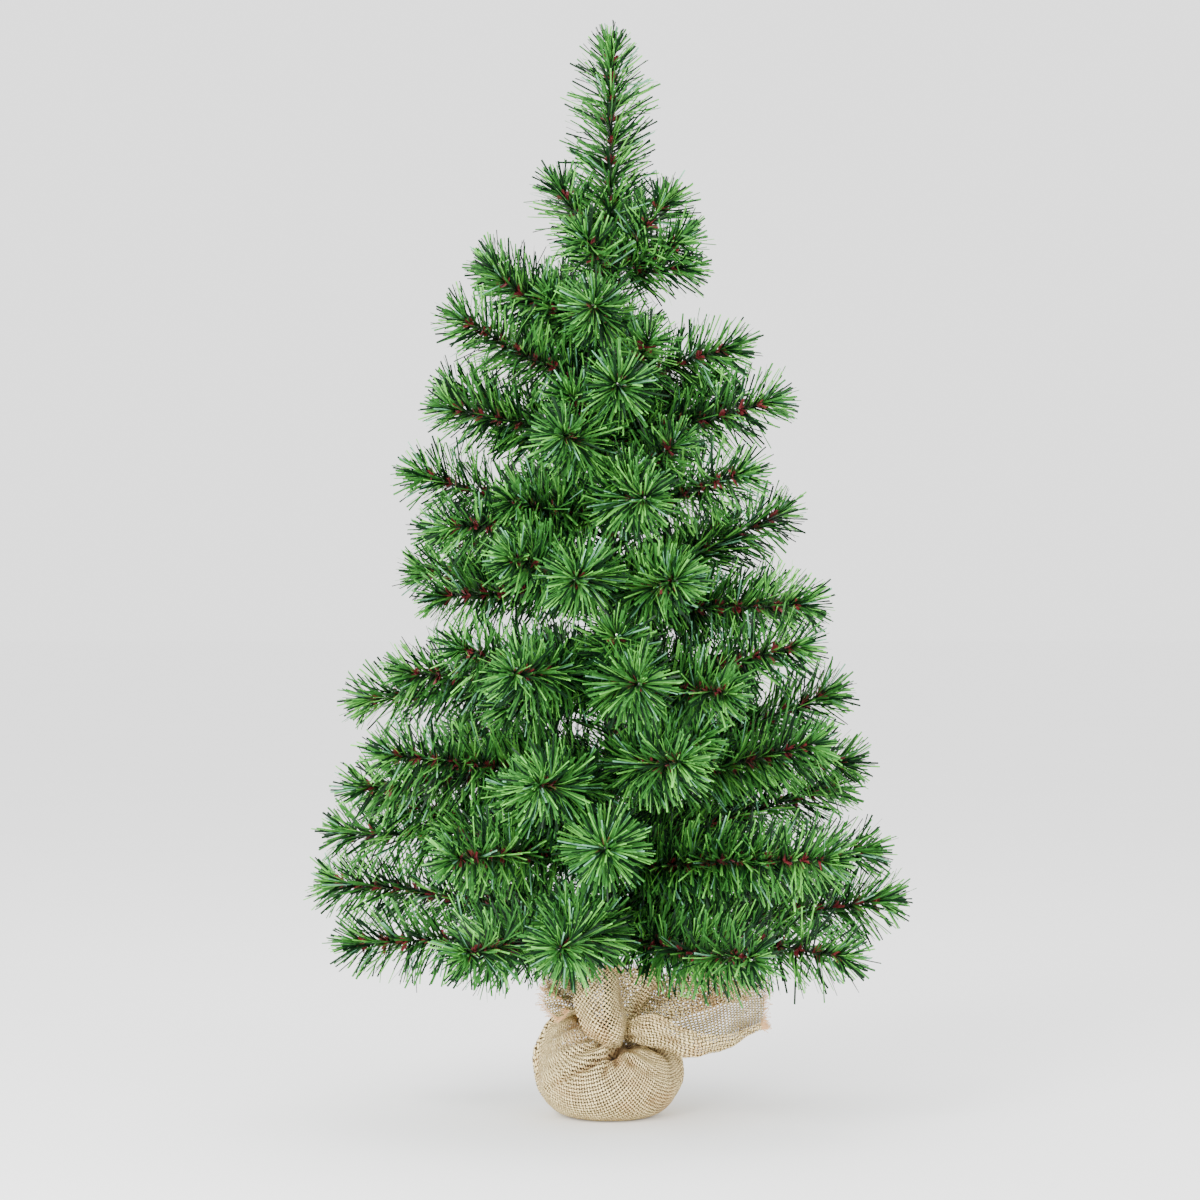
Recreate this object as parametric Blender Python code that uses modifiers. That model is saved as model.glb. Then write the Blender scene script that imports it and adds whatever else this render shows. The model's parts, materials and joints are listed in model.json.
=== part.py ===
"""Artificial tabletop tree: bottle-brush branches bent out from a twisted-wire trunk.

The trunk stands in a weight that is wrapped in a square of burlap and tied at the neck. Every branch is a
length of twisted wire full of needle strips, and it bends where it leaves the trunk. Each branch object has
its origin there, with its own Z along the branch and its own Y along the bending axis. Metres, +Z up; the
viewer stands at -Y, and a bearing is measured from there towards +X.
"""

import math

import bmesh
import bpy
from mathutils import Matrix, Vector

# Overall
TREE_HEIGHT = 0.914
REACH_LOW = 0.250  # from the trunk's axis to the tips of the lowest branches
REACH_HIGH = 0.095  # the same for the highest
LOWEST_ROOT = 0.145
LEADER_LENGTH = 0.199

# Trunk and leader
TRUNK_FOOT_RADIUS = 0.0075
TRUNK_TOP_RADIUS = 0.0045
TRUNK_SIDES = 12
LEADER_WIRE_RADIUS = 0.0022
LEADER_BRUSH_RADIUS = 0.016
LEADER_BARE_WIRE = 0.030
LEADER_WHORLS = 7

# Branches
WIRE_RADIUS = 0.0016
BARE_WIRE = 0.022  # from the bend to the first needles
BRUSH_START_RADIUS = 0.0030
BRUSH_GROWTH = 0.060  # the brush's radius grows by this for each metre along the branch
BRUSH_LIMIT = 0.0125
TIP_TAPER = 0.20
WHORL_INNER = 0.55  # of each whorl's outer radius
WHORL_PITCH = 0.040
BRANCH_SIDES = 8

# Weight, burlap and tie
BALL_RADIUS = 0.0585
BALL_HEIGHT = 0.068
BALL_FLAT_ANGLE = math.radians(70)  # where the round side meets the flat underside
BALL_NECK_ANGLE = math.radians(80)  # where the round shoulder meets the neck
BURLAP_THICKNESS = 0.0016
NECK_CLEARANCE = 0.004  # between the trunk and the inside of the gathered neck
NECK_HEIGHT = 0.006
COLLAR_RISE = 0.040
COLLAR_SPREAD = 0.056  # the rim's distance from the axis, before its lobe and pleats
COLLAR_LOBE = 0.068  # how much farther the rim reaches on the lobe's side
LOBE_BEARING = math.radians(78)
COLLAR_SAG = 0.014
PLEATS = 7
PLEAT_DEPTH = 0.006
BURLAP_STEPS = 42
BALL_STEPS = 8
WEIGHT_HEIGHT = 0.052
WEIGHT_CLEARANCE = 0.0014  # between the weight and the cloth round it
SOCKET_FLOOR = 0.010
TWINE_RADIUS = 0.0013

GAP = 0.0003  # between pieces that touch

# Each branch: bearing in degrees, how far up the trunk it starts (0 the lowest, 1 the highest),
# its reach as a share of the crown's there, and how steeply it rises in degrees.
BRANCHES = (
    (85, 0.01, 0.99, 8),
    (37, 0.01, 0.82, -1),
    (-80, 0.01, 0.93, -1),
    (-32, 0.01, 0.93, 1),
    (-12, 0.02, 0.87, 1),
    (160, 0.02, 0.92, 3),
    (-102, 0.02, 1.05, 8),
    (-145, 0.03, 0.94, 4),
    (122, 0.03, 0.96, 5),
    (56, 0.11, 0.98, 5),
    (-1, 0.14, 0.90, 5),
    (110, 0.14, 0.98, 14),
    (-170, 0.14, 0.91, 5),
    (-43, 0.14, 0.89, 1),
    (146, 0.15, 0.94, 5),
    (-90, 0.16, 0.92, 9),
    (73, 0.25, 0.91, 10),
    (-63, 0.25, 1.04, 7),
    (-19, 0.25, 0.94, 1),
    (96, 0.26, 0.96, 20),
    (19, 0.27, 0.90, 4),
    (-135, 0.27, 0.94, 8),
    (134, 0.28, 0.93, 9),
    (40, 0.38, 0.85, 1),
    (-76, 0.39, 1.01, 4),
    (-158, 0.39, 0.92, 9),
    (8, 0.39, 0.94, 2),
    (61, 0.40, 1.02, 10),
    (-29, 0.40, 0.97, 3),
    (172, 0.41, 0.92, 10),
    (106, 0.53, 0.98, 26),
    (83, 0.51, 0.94, 2),
    (150, 0.54, 0.93, 12),
    (24, 0.54, 0.88, 3),
    (-99, 0.54, 1.07, 5),
    (-12, 0.54, 0.97, 3),
    (-40, 0.56, 0.88, 6),
    (-70, 0.64, 1.20, 14),
    (51, 0.65, 1.03, 14),
    (12, 0.65, 0.98, 5),
    (-52, 0.65, 0.82, 6),
    (-150, 0.66, 0.94, 16),
    (-20, 0.75, 0.99, 4),
    (-94, 0.76, 1.13, 20),
    (160, 0.77, 0.95, 20),
    (90, 0.78, 0.87, 16),
    (3, 0.82, 0.97, 6),
    (-64, 0.84, 1.26, 24),
    (73, 0.85, 1.02, 16),
    (-140, 0.87, 0.94, 24),
    (-83, 0.93, 1.08, 31),
    (-9, 0.93, 1.04, 10),
    (-23, 1.00, 0.76, 34),
    (70, 1.01, 0.81, 33),
)

# Worked out from the sizes above
TRUNK_TOP = TREE_HEIGHT - LEADER_LENGTH
HIGHEST_ROOT = TRUNK_TOP - 0.025
NECK_RADIUS = TRUNK_FOOT_RADIUS + NECK_CLEARANCE + BURLAP_THICKNESS


def clear_scene():
    for obj in list(bpy.data.objects):
        bpy.data.objects.remove(obj, do_unlink=True)


def new_collection(name):
    collection = bpy.data.collections.new(name)
    bpy.context.scene.collection.children.link(collection)
    return collection


def material(name, colour, roughness, metallic=0.0):
    found = bpy.data.materials.new(name)
    found.use_nodes = True
    shader = found.node_tree.nodes["Principled BSDF"]
    shader.inputs["Base Color"].default_value = (*colour, 1.0)
    shader.inputs["Roughness"].default_value = roughness
    shader.inputs["Metallic"].default_value = metallic
    return found


def add_object(name, mesh, finish, collection, parent=None):
    obj = bpy.data.objects.new(name, mesh)
    mesh.materials.append(finish)
    collection.objects.link(obj)
    obj.parent = parent
    return obj


def turned(name, profile, sides, finish, collection, parent=None):
    """A solid of revolution about its own Z. The profile's (radius, height) points run down its outer side."""
    outline = bmesh.new()
    corners = [outline.verts.new((radius, 0.0, height)) for radius, height in profile]
    for upper, lower in zip(corners, corners[1:]):
        outline.edges.new((upper, lower))
    mesh = bpy.data.meshes.new(name)
    outline.to_mesh(mesh)
    outline.free()
    obj = add_object(name, mesh, finish, collection, parent)
    screw = obj.modifiers.new("Turn", "SCREW")
    screw.steps = sides
    screw.render_steps = sides
    screw.use_merge_vertices = True
    screw.merge_threshold = 0.00001
    screw.use_smooth_shade = True
    return obj


# Trunk and leader


def trunk_radius(height):
    share = (height - SOCKET_FLOOR) / (TRUNK_TOP - SOCKET_FLOOR)
    return TRUNK_FOOT_RADIUS + (TRUNK_TOP_RADIUS - TRUNK_FOOT_RADIUS) * share


def add_trunk(finish, collection, parent):
    foot = SOCKET_FLOOR + GAP
    profile = [
        (0.0, TRUNK_TOP),
        (TRUNK_TOP_RADIUS, TRUNK_TOP),
        (TRUNK_FOOT_RADIUS, foot),
        (0.0, foot),
    ]
    return turned("trunk", profile, TRUNK_SIDES, finish, collection, parent)


def whorl_profile(start, end, radius_at, whorls):
    """Needle whorls from start to end along the wire, each flaring towards the tip, listed from the root up."""
    pitch = (end - start) / whorls
    points = []
    for number in range(whorls):
        low = start + number * pitch
        high = low + 0.82 * pitch
        outer = radius_at(high)
        points.append((WHORL_INNER * outer, low))
        points.append((outer, high))
    return points


def add_leader(finish, collection, parent):
    def radius_at(along):
        left = LEADER_LENGTH - along
        return min(LEADER_BRUSH_RADIUS, 0.006 + 0.12 * along, 0.004 + 0.20 * left)

    upward = [(0.0, GAP), (LEADER_WIRE_RADIUS, GAP), (LEADER_WIRE_RADIUS, LEADER_BARE_WIRE)]
    upward += whorl_profile(LEADER_BARE_WIRE + 0.002, LEADER_LENGTH - 0.004, radius_at, LEADER_WHORLS)
    upward.append((0.0, LEADER_LENGTH))
    leader = turned("leader_top", upward[::-1], BRANCH_SIDES, finish, collection, parent)
    leader.location = (0.0, 0.0, TRUNK_TOP)
    return leader


# Branches


def branch_place(bearing, level, share, rise):
    """The bend's place, the direction from the trunk, the rise in radians and the branch's length."""
    outward = Vector((math.sin(math.radians(bearing)), -math.cos(math.radians(bearing)), 0.0))
    height = LOWEST_ROOT + level * (HIGHEST_ROOT - LOWEST_ROOT)
    bend_radius = trunk_radius(height) + GAP + WIRE_RADIUS
    reach = share * (REACH_LOW + level * (REACH_HIGH - REACH_LOW))
    slope = math.radians(rise)
    length = (reach - bend_radius) / math.cos(slope)
    return outward * bend_radius + Vector((0.0, 0.0, height)), outward, slope, length


def branch_profile(length):
    def radius_at(along):
        grown = BRUSH_START_RADIUS + BRUSH_GROWTH * (along - BARE_WIRE)
        return min(grown, BRUSH_LIMIT, WIRE_RADIUS + TIP_TAPER * (length - along))

    whorls = max(2, round((length - BARE_WIRE) / WHORL_PITCH))
    upward = [(0.0, -WIRE_RADIUS), (0.7 * WIRE_RADIUS, -0.7 * WIRE_RADIUS), (WIRE_RADIUS, 0.0)]
    upward.append((WIRE_RADIUS, BARE_WIRE))
    upward += whorl_profile(BARE_WIRE + 0.001, length - 0.003, radius_at, whorls)
    upward.append((0.0, length))
    return upward[::-1]


def add_branch(number, row, finish, collection, parent):
    place, outward, slope, length = branch_place(*row)
    name = f"branch_{number:02d}"
    branch = turned(name, branch_profile(length), BRANCH_SIDES, finish, collection)
    along = outward * math.cos(slope) + Vector((0.0, 0.0, math.sin(slope)))
    bend_axis = Vector((0.0, 0.0, 1.0)).cross(outward)
    turn = Matrix((bend_axis.cross(along), bend_axis, along)).transposed().to_4x4()
    branch.matrix_world = Matrix.Translation(place) @ turn
    branch.parent = parent
    return branch


# Base


def ball_angle(step):
    return -BALL_FLAT_ANGLE + (BALL_NECK_ANGLE + BALL_FLAT_ANGLE) * step / BALL_STEPS


def ball_point(angle):
    """The burlap ball's outer (radius, height) at an angle up from its widest ring."""
    boxiness = 0.35 if angle < 0.0 else 0.80
    foot = math.sin(-BALL_FLAT_ANGLE)
    full = math.sin(BALL_NECK_ANGLE) - foot
    return BALL_RADIUS * math.cos(angle) ** boxiness, BALL_HEIGHT * (math.sin(angle) - foot) / full


def inset_ball_point(angle, inset):
    """The ball's outline moved inwards, square to itself."""
    radius, height = ball_point(angle)
    nearby = 0.01
    low_radius, low_height = ball_point(angle - nearby)
    high_radius, high_height = ball_point(angle + nearby)
    along = Vector((high_radius - low_radius, high_height - low_height)).normalized()
    return radius - inset * along.y, height + inset * along.x


def burlap_ring(radius, height, steps=BURLAP_STEPS):
    return [
        Vector((radius * math.cos(2 * math.pi * k / steps), radius * math.sin(2 * math.pi * k / steps), height))
        for k in range(steps)
    ]


def collar_ring(share):
    """The gathered cloth above the tie, share 0 at the neck and 1 at the rim: pleated, with one long lobe."""
    ring = []
    for point in burlap_ring(1.0, 0.0):
        angle = math.atan2(point.y, point.x)
        lobe_angle = math.atan2(-math.cos(LOBE_BEARING), math.sin(LOBE_BEARING))
        lobe = max(0.0, math.cos(angle - lobe_angle)) ** 2
        rim = COLLAR_SPREAD + COLLAR_LOBE * lobe
        pleat = PLEAT_DEPTH * math.cos(PLEATS * angle) * share
        radius = NECK_RADIUS + (rim - NECK_RADIUS) * share
        rise = COLLAR_RISE * share ** (0.6 + 0.9 * lobe)
        sag = COLLAR_SAG * lobe * math.sin(math.pi * share)
        height = BALL_HEIGHT + NECK_HEIGHT + rise - sag + pleat
        ring.append(Vector((radius * point.x, radius * point.y, height)))
    return ring


def add_burlap(finish, collection, parent):
    """One square of cloth: flat under the weight, round its side, gathered at the neck and open above it."""
    rings = [burlap_ring(0.5 * ball_point(-BALL_FLAT_ANGLE)[0], 0.0)]
    for step in range(BALL_STEPS):
        rings.append(burlap_ring(*ball_point(ball_angle(step))))
    rings.append(burlap_ring(NECK_RADIUS, BALL_HEIGHT))
    rings.append(burlap_ring(NECK_RADIUS, BALL_HEIGHT + NECK_HEIGHT))
    rings += [collar_ring(step / 5) for step in range(1, 6)]

    cloth = bmesh.new()
    rows = [[cloth.verts.new(point) for point in ring] for ring in rings]
    cloth.faces.new(rows[0][::-1])
    for lower, upper in zip(rows, rows[1:]):
        for k in range(BURLAP_STEPS):
            following = (k + 1) % BURLAP_STEPS
            cloth.faces.new((lower[k], lower[following], upper[following], upper[k]))
    mesh = bpy.data.meshes.new("burlap_wrap")
    cloth.to_mesh(mesh)
    cloth.free()
    mesh.shade_smooth()
    wrap = add_object("burlap_wrap", mesh, finish, collection, parent)
    thick = wrap.modifiers.new("Cloth", "SOLIDIFY")
    thick.thickness = BURLAP_THICKNESS
    thick.offset = -1.0
    return wrap


def add_weight(finish, collection, parent):
    """The cast weight fills the ball and holds the trunk's foot in a socket."""
    inset = BURLAP_THICKNESS + WEIGHT_CLEARANCE
    floor = BURLAP_THICKNESS + GAP
    socket = TRUNK_FOOT_RADIUS + GAP
    outline = [inset_ball_point(ball_angle(step), inset) for step in range(1, BALL_STEPS)]
    side = [point for point in outline if point[1] < WEIGHT_HEIGHT]
    below, above = Vector(side[-1]), Vector(outline[len(side)])
    rim = below.lerp(above, (WEIGHT_HEIGHT - below.y) / (above.y - below.y))
    foot_radius = ball_point(-BALL_FLAT_ANGLE)[0] - inset
    upward = [(0.0, floor), (foot_radius, floor), *side, tuple(rim)]
    upward.append((socket, WEIGHT_HEIGHT))
    upward += [(socket, SOCKET_FLOOR), (0.0, SOCKET_FLOOR)]
    return turned("cast_weight", upward[::-1], 32, finish, collection, parent)


def add_tie(finish, collection, parent):
    """Twine drawn round the gathered neck."""
    bpy.ops.mesh.primitive_torus_add(
        major_segments=32,
        minor_segments=8,
        major_radius=NECK_RADIUS + GAP + TWINE_RADIUS,
        minor_radius=TWINE_RADIUS,
        location=(0.0, 0.0, BALL_HEIGHT + NECK_HEIGHT / 2),
    )
    tie = bpy.context.object
    tie.name = "neck_tie"
    tie.data.materials.append(finish)
    tie.data.shade_smooth()
    for found in list(tie.users_collection):
        found.objects.unlink(tie)
    collection.objects.link(tie)
    tie.parent = parent
    return tie


def main():
    clear_scene()
    tree = new_collection("tabletop_tree")
    base = bpy.data.objects.new("base_frame", None)
    tree.objects.link(base)

    add_weight(material("cast cement", (0.42, 0.40, 0.37), 0.9), tree, base)
    add_burlap(material("burlap", (0.55, 0.38, 0.22), 0.95), tree, base)
    add_tie(material("jute twine", (0.42, 0.28, 0.15), 0.9), tree, base)
    add_trunk(material("twisted green wire", (0.03, 0.05, 0.03), 0.5, 0.3), tree, base)
    leaf = (0.06, 0.30, 0.05)
    add_leader(material("leader needles", leaf, 0.45), tree, base)
    for number, row in enumerate(BRANCHES, start=1):
        add_branch(number, row, material(f"needles {number:02d}", leaf, 0.45), tree, base)


if __name__ == "__main__":
    main()
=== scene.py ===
"""Artificial tabletop tree: the finished look of its branches, trunk and burlap base.

Laid out as an add-on whose operators each make one piece or a group of like pieces around the fixed frame.
Metres, +Z up, front at -Y. A bearing is measured from the front towards +X.
"""

import json
import math
import random

import bmesh
import bpy
import numpy as np
from bpy.props import FloatProperty, FloatVectorProperty, IntProperty, PointerProperty
from mathutils import Matrix, Vector, noise


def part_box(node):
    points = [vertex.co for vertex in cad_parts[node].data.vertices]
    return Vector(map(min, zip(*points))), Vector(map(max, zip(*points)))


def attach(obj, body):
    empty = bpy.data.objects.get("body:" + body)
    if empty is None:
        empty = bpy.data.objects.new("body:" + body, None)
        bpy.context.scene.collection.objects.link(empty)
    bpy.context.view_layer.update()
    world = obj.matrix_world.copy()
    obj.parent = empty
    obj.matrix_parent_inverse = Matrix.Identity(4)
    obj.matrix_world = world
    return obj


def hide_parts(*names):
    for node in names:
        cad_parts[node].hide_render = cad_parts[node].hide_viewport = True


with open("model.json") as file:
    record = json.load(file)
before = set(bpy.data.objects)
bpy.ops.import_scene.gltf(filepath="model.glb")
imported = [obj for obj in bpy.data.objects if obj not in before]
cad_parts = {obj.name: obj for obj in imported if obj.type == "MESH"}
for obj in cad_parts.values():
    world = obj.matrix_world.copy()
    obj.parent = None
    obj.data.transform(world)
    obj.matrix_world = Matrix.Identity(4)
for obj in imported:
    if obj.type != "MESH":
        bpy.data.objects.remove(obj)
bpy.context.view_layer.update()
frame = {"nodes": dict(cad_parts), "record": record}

bl_info = {
    "name": "Tabletop Tree",
    "version": (1, 0, 0),
    "blender": (4, 5, 0),
    "location": "View3D > Sidebar > Tree",
    "description": "Builds a bottle-brush tabletop tree in a burlap-wrapped base around its frame",
    "category": "Object",
}

BASE = "base"
BRANCH_JOINTS = [joint for joint in frame["record"]["behaviour"]["joints"] if joint["child"].startswith("branch_")]
GOLDEN_ANGLE = math.pi * (3.0 - math.sqrt(5.0))

# Needles
NEEDLE_TEMPLATE_LENGTH = 0.046
NEEDLE_THICKNESS = 0.00016
NEEDLE_BENDS = (-0.15, -0.04, 0.05, 0.16, 0.0)  # sideways at the free end, as a share of the length
NEEDLE_TWISTS = (0.9, -0.5, 0.3, -1.1)
NEEDLE_WIDTHS = (1.0, 0.62, 1.2, 0.85, 1.1)  # as shares of the usual width
NEEDLE_MIX = (0, 1, 2, 1, 0, 2, 1, 2, 1, 0, 1, 2, 1, 2, 0, 1, 2, 1, 0, 3, 2, 1, 2, 1)  # finishes of one hank
BARK_STRIPS = 14
BARK_LENGTH = 0.0084
BARK_WIDTH = 0.0024
BARK_THICKNESS = 0.0003
LEADER_TUFT = 0.027
BARE_ROOT = 0.008  # of a branch, before its first needles
TIP_TUFT = 0.020  # how far the needles reach past the end of the wire
END_STRETCH = 0.007  # of the wire, where the tuft's own needles sit
NEEDLE_MARGIN = 0.002  # of the wire, with no other needles before its cut end
BRIGHT_END = 0.0035  # the wire's bare cut end on a branch
LEADER_BRIGHT_END = 0.004
TRUNK_TAPER = 0.62  # the trunk's width at its top as a share of that at its foot
STEEPEST_SHOOT = 40.0  # degrees: a steeper sprig belongs to the leader and stays put

# Base
NECK_RADIUS = 0.0125
NECK_HEIGHT = 0.066
CLOTH_THICKNESS = 0.0007


class TreeSettings(bpy.types.PropertyGroup):
    needle_length: FloatProperty(
        name="Needle length", description="Length of a needle strip at the middle of a branch",
        default=0.0425, min=0.01, unit="LENGTH",
    )
    needle_width: FloatProperty(
        name="Needle width", description="Width of a needle strip", default=0.00145, unit="LENGTH"
    )
    needle_density: FloatProperty(
        name="Needles per metre", description="Needle strips along a metre of branch", default=3750.0
    )
    needle_lean: FloatProperty(
        name="Needle lean", description="Angle between a needle and its branch",
        default=math.radians(63.0), subtype="ANGLE",
    )
    bark_spacing: FloatProperty(
        name="Bark spacing", description="Distance between two tufts of bark strips", default=0.0165, unit="LENGTH"
    )
    light_green: FloatVectorProperty(
        name="Light needles", description="Colour of the youngest needles",
        default=(0.112, 0.385, 0.060), subtype="COLOR", min=0.0, max=1.0,
    )
    mid_green: FloatVectorProperty(
        name="Mid needles", description="Colour of most needles",
        default=(0.031, 0.144, 0.024), subtype="COLOR", min=0.0, max=1.0,
    )
    dark_green: FloatVectorProperty(
        name="Dark needles", description="Colour of the darkest needles",
        default=(0.003, 0.018, 0.005), subtype="COLOR", min=0.0, max=1.0,
    )
    pale_green: FloatVectorProperty(
        name="Bluish needles", description="Colour of the few pale bluish needles",
        default=(0.13, 0.33, 0.20), subtype="COLOR", min=0.0, max=1.0,
    )
    bark_brown: FloatVectorProperty(
        name="Bark strips", description="Colour of the short bark strips",
        default=(0.125, 0.012, 0.015), subtype="COLOR", min=0.0, max=1.0,
    )
    jute_light: FloatVectorProperty(
        name="Light jute", description="Colour of the burlap's light yarns",
        default=(1.0, 0.70, 0.36), subtype="COLOR", min=0.0, max=1.0,
    )
    jute_dark: FloatVectorProperty(
        name="Dark jute", description="Colour of the burlap's dark yarns",
        default=(0.46, 0.205, 0.070), subtype="COLOR", min=0.0, max=1.0,
    )
    yarn_pitch: FloatProperty(
        name="Yarn pitch", description="Distance between the burlap's yarns", default=0.0030, unit="LENGTH"
    )
    sprigs: IntProperty(
        name="Second shoots", description="Shoots that share their root with a branch", default=34, min=0
    )


def settings():
    return bpy.context.scene.tabletop_tree


# Materials


class Nodes:
    """A short way to write a node material."""

    def __init__(self, name, roughness, metallic=0.0):
        self.material = bpy.data.materials.new(name)
        self.material.use_nodes = True
        self.tree = self.material.node_tree
        self.shader = self.tree.nodes["Principled BSDF"]
        self.shader.inputs["Roughness"].default_value = roughness
        self.shader.inputs["Metallic"].default_value = metallic

    def add(self, kind, inputs=(), **attributes):
        node = self.tree.nodes.new(kind)
        for key, value in attributes.items():
            setattr(node, key, value)
        for socket, value in dict(inputs).items():
            self.feed(node.inputs[socket], value)
        return node

    def feed(self, socket, value):
        if isinstance(value, bpy.types.NodeSocket):
            self.tree.links.new(value, socket)
        else:
            socket.default_value = value

    def math(self, operation, first, second=0.0, third=0.0):
        node = self.tree.nodes.new("ShaderNodeMath")
        node.operation = operation
        for socket, value in zip(node.inputs, (first, second, third)):
            self.feed(socket, value)
        return node.outputs[0]

    def mix(self, share, first, second):
        node = self.tree.nodes.new("ShaderNodeMix")
        node.data_type = "RGBA"
        self.feed(node.inputs[0], share)
        for socket, value in ((node.inputs[6], first), (node.inputs[7], second)):
            self.feed(socket, value if isinstance(value, bpy.types.NodeSocket) else (*value, 1.0))
        return node.outputs[2]

    def noise(self, scale, detail=2.0, vector=None):
        vector = vector or self.add("ShaderNodeTexCoord").outputs["Object"]
        node = self.add("ShaderNodeTexNoise", {"Vector": vector, "Scale": scale, "Detail": detail})
        return node.outputs[0]

    def between(self, value, low, high):
        """value's rise from low to high as 0 to 1."""
        node = self.add("ShaderNodeMapRange", {"Value": value, "From Min": low, "From Max": high})
        node.interpolation_type = "SMOOTHSTEP"
        return node.outputs["Result"]

    def colour(self, socket):
        self.tree.links.new(socket, self.shader.inputs["Base Color"])

    def bump(self, height, distance, strength=1.0):
        node = self.add("ShaderNodeBump", {"Height": height, "Distance": distance, "Strength": strength})
        self.tree.links.new(node.outputs["Normal"], self.shader.inputs["Normal"])


def scaled(colour, factor):
    return tuple(min(1.0, channel * factor) for channel in colour)


def needle_film(name, colour):
    """Cut PVC film: glossy, with painted shade making it darker where it leaves the wire deep in the brush, and a
    painted highlight making its cut end paler.
    """
    film = Nodes(name, roughness=0.42)
    film.shader.inputs["Specular IOR Level"].default_value = 0.16
    along = film.add("ShaderNodeAttribute", attribute_name="along").outputs["Fac"]
    strips = film.noise(260.0, 1.0)
    patches = film.noise(34.0, 2.0)
    shade = film.mix(film.between(strips, 0.32, 0.68), scaled(colour, 0.62), scaled(colour, 1.25))
    shade = film.mix(film.between(patches, 0.35, 0.75), shade, scaled(colour, 1.35))
    # painted shade: the film darkens towards the wire, where the inside of the brush lies in shade
    shade = film.mix(film.between(along, 0.0, 0.55), scaled(colour, 0.14), shade)
    # painted highlight: the cut end is made paler, as where the outer tips catch the light
    shade = film.mix(film.between(along, 0.93, 1.0), shade, scaled(colour, 1.45))
    film.colour(shade)
    film.bump(film.noise(900.0, 1.0), 0.00008)
    return film.material


def bark_film(colour):
    bark = Nodes("bark strips", roughness=0.55)
    bark.colour(bark.mix(bark.noise(500.0), scaled(colour, 0.5), scaled(colour, 1.9)))
    return bark.material


def cut_wire():
    wire = Nodes("bright wire", roughness=0.3, metallic=0.9)
    wire.colour(wire.mix(wire.noise(700.0), (0.30, 0.30, 0.28), (0.62, 0.61, 0.58)))
    return wire.material


def lacquered_wire():
    wire = Nodes("lacquered wire", roughness=0.42)
    worn = wire.between(wire.noise(180.0, 4.0), 0.56, 0.72)
    wire.colour(wire.mix(worn, (0.012, 0.030, 0.012), (0.10, 0.075, 0.05)))
    wire.bump(wire.noise(420.0, 3.0), 0.0003)
    return wire.material


def cast_cement_in_painted_shade():
    cement = Nodes("cast cement", roughness=0.92)
    # cement made dark brown so that, seen through the burlap's holes, it also stands in as painted shade inside the
    # wrap
    cement.colour(cement.mix(cement.noise(90.0, 6.0), (0.040, 0.026, 0.017), (0.095, 0.065, 0.045)))
    cement.bump(cement.noise(240.0, 6.0), 0.0006)
    return cement.material


def jute_yarn():
    s = settings()
    yarn = Nodes("jute yarn", roughness=0.9)
    yarn.colour(yarn.mix(yarn.noise(600.0, 3.0), tuple(s.jute_dark), tuple(s.jute_light)))
    yarn.bump(yarn.noise(1500.0, 2.0), 0.0002)
    return yarn.material


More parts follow.
